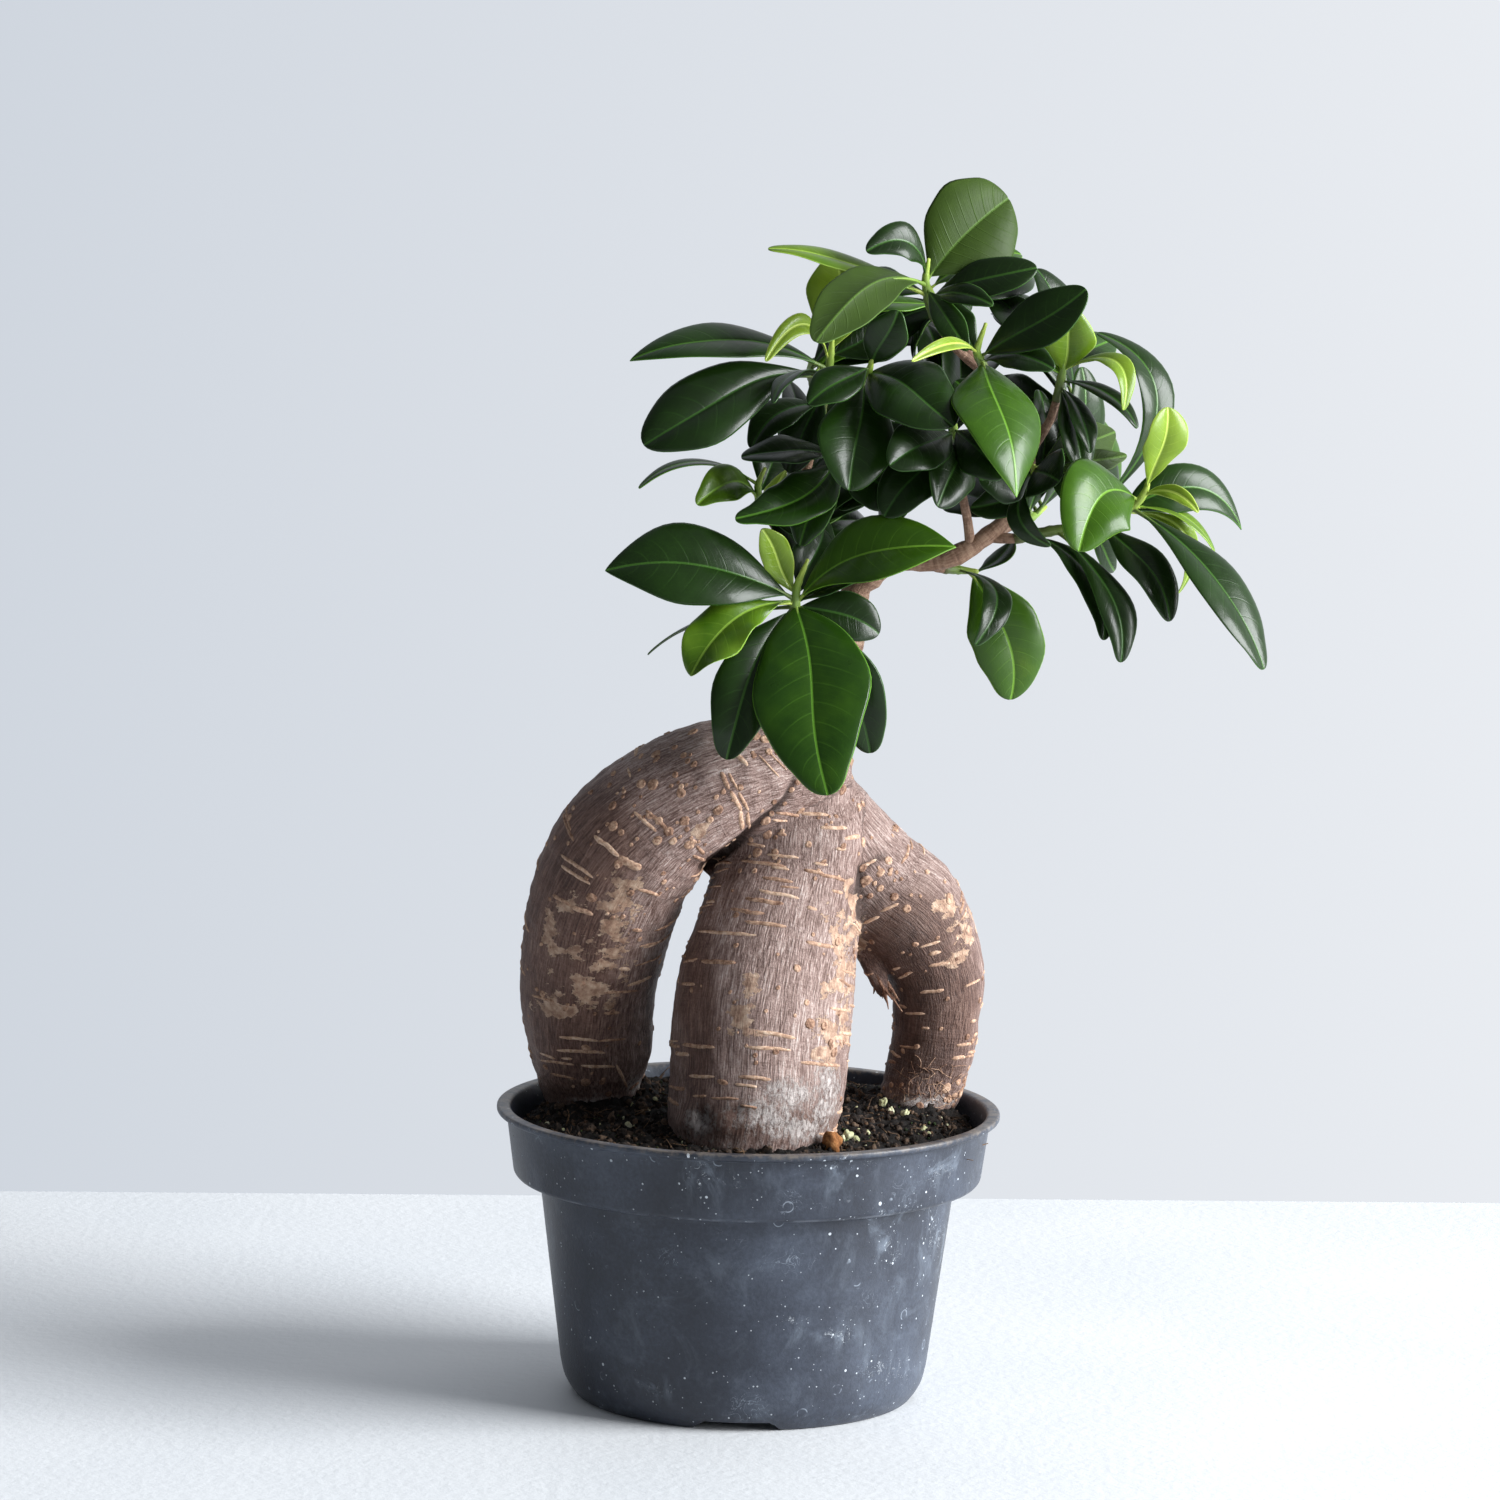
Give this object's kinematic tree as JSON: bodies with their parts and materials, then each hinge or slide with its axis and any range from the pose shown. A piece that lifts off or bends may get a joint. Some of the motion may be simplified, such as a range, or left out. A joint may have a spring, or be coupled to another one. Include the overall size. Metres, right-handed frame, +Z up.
{
  "type": "potted ginseng ficus",
  "caption": "Small grafted ginseng ficus with a swollen, arching root caudex and a leafy head, in a round dark plastic nursery pot.",
  "frame": {"origin": "on the table, under the middle of the whole plant's bounding box", "axes": "+Z up along the pot's axis; -Y towards the viewer, so the side with the round-leaved low shoot is the front; +X to the right, the way the crown leans"},
  "size_m": [0.2311, 0.154, 0.3732],
  "materials": {
    "pot_plastic": "satin, scuffed",
    "bark": "rough bark",
    "leaf": "glossy leaf",
    "peat_soil": "loose potting soil of peat and bark"
  },
  "bodies": {
    "root": {"pot": "pot_plastic", "soil": "peat_soil", "trunk": "bark", "shoot_low_left": "leaf", "shoot_middle_left": "leaf", "shoot_inner_left": "leaf", "shoot_upper_left": "leaf", "shoot_front_left": "leaf", "shoot_top": "leaf", "shoot_front": "leaf", "shoot_centre": "leaf", "shoot_inner_right": "leaf", "shoot_upper_right": "leaf", "shoot_right": "leaf", "shoot_hanging": "leaf", "shoot_back_low_left": "leaf", "shoot_back_left": "leaf", "shoot_back_top": "leaf", "shoot_back_right": "leaf", "shoot_back_middle": "leaf", "shoot_back_low_right": "leaf"}
  },
  "joints": []
}
